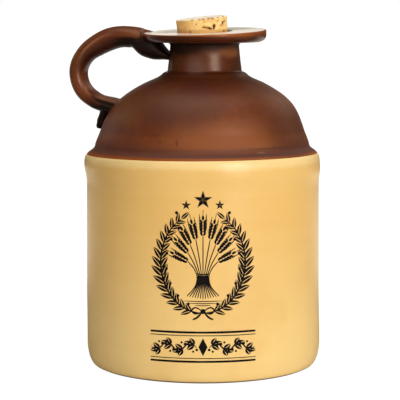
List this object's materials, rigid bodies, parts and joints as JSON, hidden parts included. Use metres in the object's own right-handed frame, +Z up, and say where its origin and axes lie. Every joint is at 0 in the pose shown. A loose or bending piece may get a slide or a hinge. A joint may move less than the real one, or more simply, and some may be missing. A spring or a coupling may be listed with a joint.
{
  "type": "stoneware crock jug",
  "caption": "Stoneware crock jug: cream glazed wall, brown glazed domed shoulder and neck, saucer rim, pulled strap handle and a tapered cork that lifts out.",
  "frame": {"origin": "middle of the foot, on the plane that the jug stands on", "axes": "+Z up along the axis of the wall, -Y towards the printed front, -X towards the handle"},
  "size_m": [0.153, 0.1428, 0.2116],
  "materials": {
    "bare_clay": "unglazed buff stoneware, wiped clean under the foot",
    "cream_glaze": "cream yellow glaze with a soft satin gloss and faint throwing rings",
    "brown_glaze": "satin reddish brown slip glaze, darker where it pools",
    "cork": "raw natural cork with dark pores",
    "print_ink": "near black fired print on the front of the wall"
  },
  "bodies": {
    "jug": {"base_slab": "bare_clay", "crock_wall": "cream_glaze", "shoulder_dome": "brown_glaze", "neck_collar": "brown_glaze", "pour_rim": "brown_glaze", "handle_strap": "brown_glaze", "handle_wad": "brown_glaze"},
    "cork": {"cork_stopper": "cork"}
  },
  "joints": [
    {"name": "cork_slide", "type": "slide", "parent": "jug", "child": "cork", "axis": [-0.0801, -0.0454, 0.9958], "range_m": [0, 0.05]}
  ]
}
